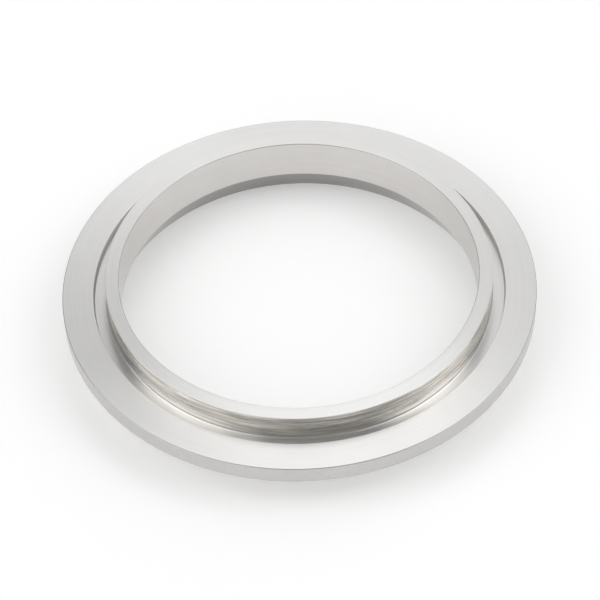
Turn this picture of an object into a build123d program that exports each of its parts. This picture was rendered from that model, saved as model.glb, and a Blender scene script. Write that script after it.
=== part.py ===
from build123d import *
import math
import os

# V-band flange, turned from one piece of stainless steel for welding to a thin-walled tube.
# Sizes are in millimetres and angles in degrees. The axis is +Z, and the flange stands on
# its weld end at z = 0 with its sealing side up.

# Tube that is butt-welded to the neck
tube_diameter = 76.2
tube_wall = 1.65

# Bore: a step in from the inside of the tube, reached by a cone
bore_step = 2.45
flare_angle = 25.0

# Pilot ring that centres the mating flange
pilot_wall = 2.6
pilot_height = 3.9

# Gasket groove cut into the sealing face round the foot of the pilot
groove_width = 2.5
groove_depth = 1.5
groove_corner_radius = 0.3

# Flat sealing face outside the groove
face_width = 5.9

# Rim that the clamp closes on: a straight outer wall above a tapered back
rim_thickness = 3.5
back_taper = 20.0

# Straight part of the weld neck, below the tapered back
neck_length = 3.5
neck_root_radius = 1.0

# Edges broken after turning
edge_break = 0.2

# Radii, from the tube's outside to the bore and out again to the rim
tube_radius = tube_diameter / 2
mouth_radius = tube_radius - tube_wall
bore_radius = mouth_radius - bore_step
pilot_radius = bore_radius + pilot_wall
groove_radius = pilot_radius + groove_width
rim_radius = groove_radius + face_width

# Heights, from the weld end up
flare_height = bore_step / math.tan(math.radians(flare_angle))
rim_foot_z = neck_length + (rim_radius - tube_radius) * math.tan(math.radians(back_taper))
face_z = rim_foot_z + rim_thickness
groove_floor_z = face_z - groove_depth
top_z = face_z + pilot_height


def turned_edges(part, *places):
    """The circular edges of a turned part at the given (radius, height) places."""
    circles = part.edges().filter_by(GeomType.CIRCLE)
    found = ShapeList()
    for radius, height in places:
        level = circles.filter_by(lambda edge: abs(edge.arc_center.Z - height) < 0.001)
        found.append(level.sort_by(lambda edge: abs(edge.radius - radius))[0])
    return found


with BuildPart() as flange_ring:
    # Outer form: weld neck, tapered back, rim and pilot ring, with a radius at the neck's root
    with BuildSketch(Plane.XZ) as outer_form:
        with BuildLine():
            Polyline(
                (0, 0),
                (tube_radius, 0),
                (tube_radius, neck_length),
                (rim_radius, rim_foot_z),
                (rim_radius, face_z),
                (pilot_radius, face_z),
                (pilot_radius, top_z),
                (0, top_z),
                close=True,
            )
        make_face()
        neck_root = outer_form.vertices().sort_by_distance((tube_radius, neck_length))[0]
        fillet(neck_root, neck_root_radius)
    revolve(axis=Axis.Z)

    # Straight bore, opened by a cone at the weld end
    with BuildSketch(Plane.XZ):
        with BuildLine():
            Polyline(
                (0, 0),
                (mouth_radius, 0),
                (bore_radius, flare_height),
                (bore_radius, top_z),
                (0, top_z),
                close=True,
            )
        make_face()
    revolve(axis=Axis.Z, mode=Mode.SUBTRACT)

    # Gasket groove, with the corner radii of the grooving tool in its floor
    with BuildSketch(Plane.XZ):
        with Locations((pilot_radius, groove_floor_z)):
            Rectangle(groove_width, groove_depth, align=(Align.MIN, Align.MIN))
    revolve(axis=Axis.Z, mode=Mode.SUBTRACT)
    groove_corners = turned_edges(
        flange_ring, (pilot_radius, groove_floor_z), (groove_radius, groove_floor_z)
    )
    fillet(groove_corners, groove_corner_radius)

    # Sharp turned edges are broken all round
    sharp_edges = turned_edges(
        flange_ring,
        (bore_radius, top_z),
        (pilot_radius, top_z),
        (groove_radius, face_z),
        (rim_radius, face_z),
        (rim_radius, rim_foot_z),
        (tube_radius, 0),
    )
    chamfer(sharp_edges, edge_break)

flange_ring.part.label = "flange_ring"

os.makedirs("parts", exist_ok=True)
export_step(flange_ring.part, "parts/flange_ring.step")
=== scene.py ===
import math

import bpy
from mathutils import Matrix, Vector


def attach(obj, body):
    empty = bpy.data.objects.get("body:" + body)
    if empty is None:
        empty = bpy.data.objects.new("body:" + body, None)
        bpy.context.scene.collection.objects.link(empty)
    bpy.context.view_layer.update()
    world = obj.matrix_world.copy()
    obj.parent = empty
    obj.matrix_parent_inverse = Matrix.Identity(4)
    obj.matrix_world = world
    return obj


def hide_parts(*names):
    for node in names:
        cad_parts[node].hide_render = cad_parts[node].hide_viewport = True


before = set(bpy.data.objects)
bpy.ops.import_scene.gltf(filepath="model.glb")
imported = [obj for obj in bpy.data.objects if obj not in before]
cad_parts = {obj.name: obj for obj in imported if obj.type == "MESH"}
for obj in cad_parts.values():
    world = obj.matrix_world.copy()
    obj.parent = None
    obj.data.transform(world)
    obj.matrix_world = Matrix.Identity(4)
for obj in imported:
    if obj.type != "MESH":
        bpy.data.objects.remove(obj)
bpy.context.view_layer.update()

MM = 0.001

# Sizes of the turned ring, in millimetres, the same as the solid's
TUBE_RADIUS = 38.1
TUBE_WALL = 1.65
BORE_STEP = 2.45
FLARE_ANGLE = math.radians(25.0)
PILOT_WALL = 2.6
PILOT_HEIGHT = 3.9
GROOVE_WIDTH = 2.5
GROOVE_DEPTH = 1.5
GROOVE_CORNER = 0.3
FACE_WIDTH = 5.9
RIM_THICKNESS = 3.5
BACK_TAPER = math.radians(20.0)
NECK_LENGTH = 3.5
NECK_ROOT = 1.0

MOUTH_RADIUS = TUBE_RADIUS - TUBE_WALL
BORE_RADIUS = MOUTH_RADIUS - BORE_STEP
PILOT_RADIUS = BORE_RADIUS + PILOT_WALL
GROOVE_RADIUS = PILOT_RADIUS + GROOVE_WIDTH
RIM_RADIUS = GROOVE_RADIUS + FACE_WIDTH
FLARE_HEIGHT = BORE_STEP / math.tan(FLARE_ANGLE)
RIM_FOOT_Z = NECK_LENGTH + (RIM_RADIUS - TUBE_RADIUS) * math.tan(BACK_TAPER)
FACE_Z = RIM_FOOT_Z + RIM_THICKNESS
FLOOR_Z = FACE_Z - GROOVE_DEPTH
TOP_Z = FACE_Z + PILOT_HEIGHT

# Radii of the edges that the solid has as small chamfers or leaves sharp, in millimetres
PILOT_EDGE = 0.08
GROOVE_EDGE = 0.08
MOUTH_EDGE = 0.1
BORE_EDGE = 0.12
FACE_EDGE = 0.15
BACK_EDGE = 0.2
FLARE_EDGE = 0.4

# The section's corners, anticlockwise: place, radius of the corner, finish of the corner, finish
# of the surface that follows
CORNERS = [
    ((MOUTH_RADIUS, 0), MOUTH_EDGE, "faced", "faced"),
    ((TUBE_RADIUS, 0), BACK_EDGE, "broken", "turned"),
    ((TUBE_RADIUS, NECK_LENGTH), NECK_ROOT, "turned", "turned"),
    ((RIM_RADIUS, RIM_FOOT_Z), BACK_EDGE, "broken", "rim"),
    ((RIM_RADIUS, FACE_Z), FACE_EDGE, "broken", "faced"),
    ((GROOVE_RADIUS, FACE_Z), GROOVE_EDGE, "groove", "groove"),
    ((GROOVE_RADIUS, FLOOR_Z), GROOVE_CORNER, "faced", "faced"),
    ((PILOT_RADIUS, FLOOR_Z), GROOVE_CORNER, "faced", "pilot"),
    ((PILOT_RADIUS, TOP_Z), PILOT_EDGE, "turned", "faced"),
    ((BORE_RADIUS, TOP_Z), BORE_EDGE, "broken", "bored"),
    ((BORE_RADIUS, FLARE_HEIGHT), FLARE_EDGE, "bored", "flared"),
]

AROUND = 720          # steps round the ring
ARC_STEPS = 6         # steps along each rounded corner


def rounded(before, corner, after, radius):
    """An arc that rounds one corner of the section: its points, each with its outward normal."""
    corner = Vector(corner)
    to_before = (Vector(before) - corner).normalized()
    to_after = (Vector(after) - corner).normalized()
    half = to_before.angle(to_after) / 2
    reach = radius / math.tan(half)
    centre = corner + (to_before + to_after).normalized() * (radius / math.sin(half))
    start = corner + to_before * reach - centre
    end = corner + to_after * reach - centre
    sweep = start.angle(end)
    # the section runs anticlockwise: a left turn is an outer corner, a right turn an inner one
    outer = start.x * end.y - start.y * end.x > 0
    arc = []
    for step in range(ARC_STEPS + 1):
        share = step / ARC_STEPS
        from_start = start * math.sin((1 - share) * sweep)
        from_end = end * math.sin(share * sweep)
        arm = (from_start + from_end) / math.sin(sweep)
        normal = arm.normalized() if outer else -arm.normalized()
        arc.append((centre + arm, normal))
    return arc


def section():
    """The ring's section, anticlockwise, as (point, normal, finish of the surface that follows)."""
    points = []
    for i, (corner, radius, corner_finish, finish) in enumerate(CORNERS):
        before = CORNERS[i - 1][0]
        after = CORNERS[(i + 1) % len(CORNERS)][0]
        arc = rounded(before, corner, after, radius)
        points += [(place, normal, corner_finish) for place, normal in arc[:-1]]
        points.append((*arc[-1], finish))
    return points


def lathe(name, points, finishes):
    """A closed ring turned from a closed section, with the section's own normals."""
    verts, normals, faces, slots = [], [], [], []
    count = len(points)
    for step in range(AROUND):
        angle = 2 * math.pi * step / AROUND
        cos, sin = math.cos(angle), math.sin(angle)
        for place, normal, _ in points:
            verts.append((place.x * MM * cos, place.x * MM * sin, place.y * MM))
            normals.append((normal.x * cos, normal.x * sin, normal.y))
    order = list(finishes)
    for step in range(AROUND):
        here = step * count
        ahead = (step + 1) % AROUND * count
        for i in range(count):
            j = (i + 1) % count
            faces.append((here + i, ahead + i, ahead + j, here + j))
            slots.append(order.index(points[i][2]))
    mesh = bpy.data.meshes.new(name)
    mesh.from_pydata(verts, [], faces)
    for material in finishes.values():
        mesh.materials.append(material)
    mesh.polygons.foreach_set("material_index", slots)
    mesh.polygons.foreach_set("use_smooth", [True] * len(faces))
    mesh.normals_split_custom_set_from_vertices(normals)
    ring = bpy.data.objects.new(name, mesh)
    bpy.context.scene.collection.objects.link(ring)
    return ring


class Graph:
    """Short calls for building a material's nodes."""

    def __init__(self, name):
        self.material = bpy.data.materials.new(name)
        self.material.use_nodes = True
        self.nodes = self.material.node_tree.nodes
        self.links = self.material.node_tree.links
        self.shader = self.nodes["Principled BSDF"]

    def feed(self, socket, value):
        if isinstance(value, bpy.types.NodeSocket):
            self.links.new(value, socket)
        else:
            socket.default_value = value

    def math(self, operation, first, second=0.0):
        node = self.nodes.new("ShaderNodeMath")
        node.operation = operation
        self.feed(node.inputs[0], first)
        self.feed(node.inputs[1], second)
        return node.outputs[0]

    def vector(self, x, y, z):
        node = self.nodes.new("ShaderNodeCombineXYZ")
        for socket, value in zip(node.inputs, (x, y, z)):
            self.feed(socket, value)
        return node.outputs[0]

    def scaled(self, vector, factor):
        node = self.nodes.new("ShaderNodeVectorMath")
        node.operation = "SCALE"
        self.links.new(vector, node.inputs["Vector"])
        self.feed(node.inputs["Scale"], factor)
        return node.outputs["Vector"]

    def noise(self, vector, fourth, detail, roughness):
        node = self.nodes.new("ShaderNodeTexNoise")
        node.noise_dimensions = "4D"
        self.feed(node.inputs["Vector"], vector)
        self.feed(node.inputs["W"], fourth)
        node.inputs["Scale"].default_value = 1.0
        node.inputs["Detail"].default_value = detail
        node.inputs["Roughness"].default_value = roughness
        return node.outputs["Fac"]

    def ramp(self, value, low, high, to_low=0.0, to_high=1.0):
        node = self.nodes.new("ShaderNodeMapRange")
        node.inputs["From Min"].default_value = low
        node.inputs["From Max"].default_value = high
        node.inputs["To Min"].default_value = to_low
        node.inputs["To Max"].default_value = to_high
        self.feed(node.inputs["Value"], value)
        return node.outputs["Result"]

    def between(self, share, first, second):
        """A number that runs from first to second as share runs from 0 to 1."""
        return self.ramp(share, 0.0, 1.0, first, second)

    def sway(self, centre, *layers):
        """centre, which each (pattern, amount) moves up and down about the pattern's middle."""
        total = centre
        for pattern, amount in layers:
            swing = self.math("MULTIPLY", self.math("SUBTRACT", pattern, 0.5), amount)
            total = self.math("ADD", swing, total)
        return total

    def mixed(self, factor, first, second):
        node = self.nodes.new("ShaderNodeMix")
        node.data_type = "RGBA"
        self.feed(node.inputs["Factor"], factor)
        node.inputs["A"].default_value = (*first, 1)
        node.inputs["B"].default_value = (*second, 1)
        return node.outputs["Result"]

    def bump(self, height, depth, below=None):
        node = self.nodes.new("ShaderNodeBump")
        node.inputs["Strength"].default_value = 1.0
        self.feed(node.inputs["Distance"], depth)
        self.feed(node.inputs["Height"], height)
        if below:
            self.links.new(below, node.inputs["Normal"])
        return node.outputs["Normal"]


QUARTER_TURN = 0.25          # in turns, for the direction of the gloss
CLOUD_ROUGHNESS = 0.55       # of the noise, not of the surface


class TurnedSteel(Graph):
    """Satin stainless steel that a lathe tool has marked.

    Every pattern is laid out in the ring's own radius, height and angle, in millimetres, so
    the marks run round the ring on each of its surfaces.
    """

    def __init__(self, name, anisotropy):
        super().__init__(name)
        shader = self.shader
        shader.inputs["Metallic"].default_value = 1.0
        shader.inputs["Anisotropic"].default_value = anisotropy
        # the marks run round the ring, so the gloss spreads across them
        shader.inputs["Anisotropic Rotation"].default_value = QUARTER_TURN
        tangent = self.nodes.new("ShaderNodeTangent")
        tangent.direction_type = "RADIAL"
        tangent.axis = "Z"
        self.links.new(tangent.outputs["Tangent"], shader.inputs["Tangent"])

        self.place = self.nodes.new("ShaderNodeTexCoord").outputs["Object"]
        split = self.nodes.new("ShaderNodeSeparateXYZ")
        self.links.new(self.place, split.inputs[0])
        x, y, z = split.outputs
        squares = self.math("ADD", self.math("MULTIPLY", x, x), self.math("MULTIPLY", y, y))
        radius = self.math("SQRT", squares)
        self.radius = self.math("DIVIDE", radius, MM)
        self.height = self.math("DIVIDE", z, MM)
        self.cos = self.math("DIVIDE", x, radius)
        self.sin = self.math("DIVIDE", y, radius)

    def rings(self, width, length, detail=3.0, roughness=0.6):
        """Marks round the ring: about width across and length along, in millimetres."""
        turns = RIM_RADIUS / length
        across = self.vector(
            self.math("DIVIDE", self.radius, width),
            self.math("DIVIDE", self.height, width),
            self.math("MULTIPLY", self.cos, turns),
        )
        along = self.math("MULTIPLY", self.sin, turns)
        return self.noise(across, along, detail, roughness)

    def clouds(self, size, detail):
        """Marks with no direction, about size across, in millimetres."""
        place = self.scaled(self.place, 1 / (size * MM))
        return self.noise(place, 0.0, detail, CLOUD_ROUGHNESS)

    def finish(self, colour, roughness, normal):
        self.links.new(colour, self.shader.inputs["Base Color"])
        self.links.new(roughness, self.shader.inputs["Roughness"])
        self.links.new(normal, self.shader.inputs["Normal"])
        return self.material


def plain_turned(name, colours, roughness, anisotropy, grain_amount):
    """A finely turned surface: faint bands, fine rings and cloudy handling marks."""
    steel = TurnedSteel(name, anisotropy)
    bands = steel.rings(0.7, 60.0)
    fine = steel.rings(0.3, 30.0, 1.0)
    clouds = steel.clouds(9.0, 4.0)
    grain = steel.clouds(0.5, 2.0)
    colour = steel.mixed(steel.ramp(clouds, 0.3, 0.7), *colours)
    shade = steel.sway(
        1.0, (bands, 0.10), (fine, 0.06), (clouds, 0.10), (grain, grain_amount)
    )
    rough = steel.sway(roughness, (bands, 0.02), (clouds, 0.03))
    band_depth = 0.001 * MM
    fine_depth = 0.0006 * MM
    normal = steel.bump(fine, fine_depth, steel.bump(bands, band_depth))
    return steel.finish(steel.scaled(colour, shade), rough, normal)


# The pilot's wall: the grooving tool's smooth cut ends a little above the sealing face, between
# these heights, in millimetres; below them the wall is painted darker as painted shade in the
# groove, above them paler cream as a painted highlight
CUT_END_LOW = 9.7
CUT_END_HIGH = 10.7
# the pilot wall's colours: the dark one is painted shade at the groove's foot, the pale cream one a
# painted highlight
PILOT_SHADE_AND_HIGHLIGHT_COLOURS = (0.595, 0.576, 0.556), (0.875, 0.840, 0.772)


def pilot_steel(name):
    """The pilot's wall: smooth where the grooving tool cut it, roughly streaked above that, with
    painted shade on the lower wall and a painted cream highlight above.
    """
    steel = TurnedSteel(name, 1.0)
    streaks = steel.rings(0.4, 11.0, 2.0, 0.5)
    fine = steel.rings(0.25, 20.0, 1.0)
    patches = steel.rings(1.5, 12.0)
    # the cut, and with it the painted shade below and the painted highlight above, ends in a ragged
    # line
    edge = steel.sway(steel.height, (patches, 1.6), (streaks, 0.8))
    upper = steel.ramp(edge, CUT_END_LOW, CUT_END_HIGH)
    # painted shade low on the wall and painted highlight high on it, with streaks and patches
    streak_and_painted_light_tone = steel.sway(steel.between(upper, 0.25, 0.55), (streaks, 1.8), (patches, 0.8))
    colour = steel.mixed(streak_and_painted_light_tone, *PILOT_SHADE_AND_HIGHLIGHT_COLOURS)
    shade = steel.sway(1.0, (streaks, 1.3), (fine, 0.3))
    rough = steel.sway(steel.between(upper, 0.15, 0.30), (streaks, 0.3), (patches, 0.2))
    streak_depth = steel.between(upper, 0.03 * MM, 0.16 * MM)
    fine_depth = 0.0008 * MM
    normal = steel.bump(fine, fine_depth, steel.bump(streaks, streak_depth))
    return steel.finish(steel.scaled(colour, shade), rough, normal)


# Camera, fitted to the part's circles in the photo
VIEW_DISTANCE = 0.4622
VIEW_ELEVATION = math.radians(47.47)
VIEW_ROLL = math.radians(2.35)
VIEW_TARGET = Vector((0, 0, RIM_FOOT_Z * MM))
SENSOR_WIDTH = 36.0
FOCAL_LENGTH = 145.2
SHIFT_X = 0.0006
SHIFT_Y = -0.0069

camera_data = bpy.data.cameras.new("camera")
camera_data.sensor_width = SENSOR_WIDTH
camera_data.lens = FOCAL_LENGTH
camera_data.shift_x = SHIFT_X
camera_data.shift_y = SHIFT_Y
camera = bpy.data.objects.new("camera", camera_data)
bpy.context.scene.collection.objects.link(camera)
ahead = Vector((0, math.cos(VIEW_ELEVATION), -math.sin(VIEW_ELEVATION)))
level_up = Vector((0, math.sin(VIEW_ELEVATION), math.cos(VIEW_ELEVATION)))
level_right = Vector((1, 0, 0))
right = math.cos(VIEW_ROLL) * level_right - math.sin(VIEW_ROLL) * level_up
up = math.sin(VIEW_ROLL) * level_right + math.cos(VIEW_ROLL) * level_up
turn = Matrix((right, up, -ahead)).transposed().to_4x4()
camera.matrix_world = Matrix.Translation(VIEW_TARGET - ahead * VIEW_DISTANCE) @ turn
bpy.context.scene.camera = camera

# Colours that each finish runs between
STEEL = (0.765, 0.760, 0.749)
WARM_STEEL = (0.745, 0.728, 0.700)
# the rim wall's colours are darker than the steel as painted shade, for the shadowed floor in front
# that it reflects
RIM_SHADE_COLOURS = (0.62, 0.615, 0.61), (0.63, 0.62, 0.605)
# the groove's colours are paler than the steel as painted light, lifting the shade in the narrow
# groove
GROOVE_LIGHT_COLOURS = (0.86, 0.85, 0.835), (0.87, 0.86, 0.84)
BROKEN_COLOURS = (0.50, 0.495, 0.49), (0.52, 0.515, 0.51)
BORED_COLOURS = (0.715, 0.693, 0.672), (0.725, 0.71, 0.692)
# the flare's colours are darkened as painted shade, for the floor's contact shadow that the flare
# reflects
FLARE_SHADE_COLOURS = (0.36, 0.35, 0.34), (0.38, 0.365, 0.353)

# Each plain finish: name, colours, roughness, anisotropy and amount of grain
finishes = {
    "faced": plain_turned("steel_faced", (STEEL, STEEL), 0.295, 0.85, 0.0),
    "turned": plain_turned("steel_turned", (STEEL, WARM_STEEL), 0.35, 0.7, 0.1),
    "rim": plain_turned("steel_rim", RIM_SHADE_COLOURS, 0.35, 0.7, 0.2),
    "groove": plain_turned("steel_groove", GROOVE_LIGHT_COLOURS, 0.4, 0.5, 0.0),
    "broken": plain_turned("steel_broken", BROKEN_COLOURS, 0.4, 0.5, 0.2),
    "pilot": pilot_steel("steel_pilot"),
    "bored": plain_turned("steel_bored", BORED_COLOURS, 0.3, 0.8, 0.0),
    "flared": plain_turned("steel_flared", FLARE_SHADE_COLOURS, 0.14, 0.6, 0.1),
}
ring = lathe("flange_ring_turned", section(), finishes)
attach(ring, "root")
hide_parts("flange_ring")

# Floor and the low pale wall round the room: white paper, lifted to white for the camera and in
# reflections, with the shadow kept
WHITE = (1, 1, 1, 1)
PAPER = (0.85, 0.85, 0.85, 1)
FLOOR_LIFT = 0.27
WALL_LIFT = 0.75
ROOM_RADIUS = 5.0
WALL_HEIGHT = 0.9
WALL_SIDES = 96
FLOOR_REACH = ROOM_RADIUS + 1


def white_paper(name, lift):
    """White paper that glows by lift, but only for the camera and in reflections."""
    graph = Graph(name)
    shader = graph.shader
    shader.inputs["Base Color"].default_value = PAPER
    shader.inputs["Roughness"].default_value = 1.0
    shader.inputs["Specular IOR Level"].default_value = 0.0
    shader.inputs["Emission Color"].default_value = WHITE
    rays = graph.nodes.new("ShaderNodeLightPath")
    seen = graph.math("MAXIMUM", rays.outputs["Is Camera Ray"], rays.outputs["Is Glossy Ray"])
    seen = graph.math("MAXIMUM", seen, rays.outputs["Is Transmission Ray"])
    glow = graph.math("MULTIPLY", seen, lift)
    graph.links.new(glow, shader.inputs["Emission Strength"])
    return graph.material


def staged(name, verts, faces, material):
    mesh = bpy.data.meshes.new(name)
    mesh.from_pydata(verts, [], faces)
    mesh.materials.append(material)
    piece = bpy.data.objects.new(name, mesh)
    bpy.context.scene.collection.objects.link(piece)


floor_corners = [
    (-FLOOR_REACH, -FLOOR_REACH, 0),
    (FLOOR_REACH, -FLOOR_REACH, 0),
    (FLOOR_REACH, FLOOR_REACH, 0),
    (-FLOOR_REACH, FLOOR_REACH, 0),
]
staged("floor", floor_corners, [(0, 1, 2, 3)], white_paper("floor_paper", FLOOR_LIFT))

foot = []
for step in range(WALL_SIDES):
    angle = 2 * math.pi * step / WALL_SIDES
    foot.append((ROOM_RADIUS * math.cos(angle), ROOM_RADIUS * math.sin(angle), 0))
head = [(x, y, WALL_HEIGHT) for x, y, _ in foot]
panels = []
for step in range(WALL_SIDES):
    next_step = (step + 1) % WALL_SIDES
    panels.append((next_step, step, WALL_SIDES + step, WALL_SIDES + next_step))
staged("room_wall", foot + head, panels, white_paper("wall_paper", WALL_LIFT))

# Light: a soft room, softboxes on either side, behind and overhead, and weak ones in front
ROOM_LIGHT = 0.20

world = bpy.data.worlds.new("world")
bpy.context.scene.world = world
world.use_nodes = True
world.node_tree.nodes["Background"].inputs["Color"].default_value = WHITE
world.node_tree.nodes["Background"].inputs["Strength"].default_value = ROOM_LIGHT

# Each softbox: name, the azimuths and elevations that it fills, in degrees (azimuth 0 is behind
# the part, 90 its right), and its radiance
SOFTBOXES = [
    ("lamp_left", (232, 288), (16, 74), 1.4),
    ("lamp_left_core", (250, 284), (34, 64), 0.3),
    ("lamp_right", (72, 124), (16, 74), 1.15),
    ("lamp_right_core", (76, 110), (34, 64), 0.85),
    ("lamp_back", (-17, 20), (46, 82), 1.45),
    ("lamp_back_low", (-17, 17), (8, 46), 0.40),
    ("lamp_behind_right", (20, 66), (40, 72), 0.60),
    ("lamp_behind_right_low", (17, 66), (12, 40), 0.70),
    ("lamp_behind_left", (294, 345), (40, 72), 0.15),
    ("lamp_behind_left_low", (294, 343), (12, 40), 0.18),
    ("lamp_front_low", (150, 210), (8, 30), 0.50),
    ("lamp_front", (150, 212), (30, 62), 0.20),
    ("lamp_front_left", (205, 232), (15, 45), 0.85),
    ("lamp_top", (-10, 10), (80, 100), 2.3),
]
LAMP_DISTANCE = 1.6


def softbox(name, azimuths, elevations, radiance):
    """A rectangular lamp that fills a patch of the sky and faces the part."""
    azimuth = math.radians(sum(azimuths) / 2)
    elevation = math.radians(sum(elevations) / 2)
    aim = Vector((
        math.cos(elevation) * math.sin(azimuth),
        math.cos(elevation) * math.cos(azimuth),
        math.sin(elevation),
    ))
    side = Vector((0, 0, 1)).cross(aim).normalized()
    data = bpy.data.lights.new(name, "AREA")
    data.shape = "RECTANGLE"
    half_wide = math.radians(azimuths[1] - azimuths[0]) / 2
    half_high = math.radians(elevations[1] - elevations[0]) / 2
    data.size = 2 * LAMP_DISTANCE * math.tan(half_wide) * math.cos(elevation)
    data.size_y = 2 * LAMP_DISTANCE * math.tan(half_high)
    data.energy = radiance * math.pi * data.size * data.size_y
    lamp = bpy.data.objects.new(name, data)
    bpy.context.scene.collection.objects.link(lamp)
    axes = Matrix((side, aim.cross(side), aim)).transposed().to_4x4()
    lamp.matrix_world = Matrix.Translation(aim * LAMP_DISTANCE) @ axes


for settings in SOFTBOXES:
    softbox(*settings)

bpy.context.scene.view_settings.view_transform = "Standard"
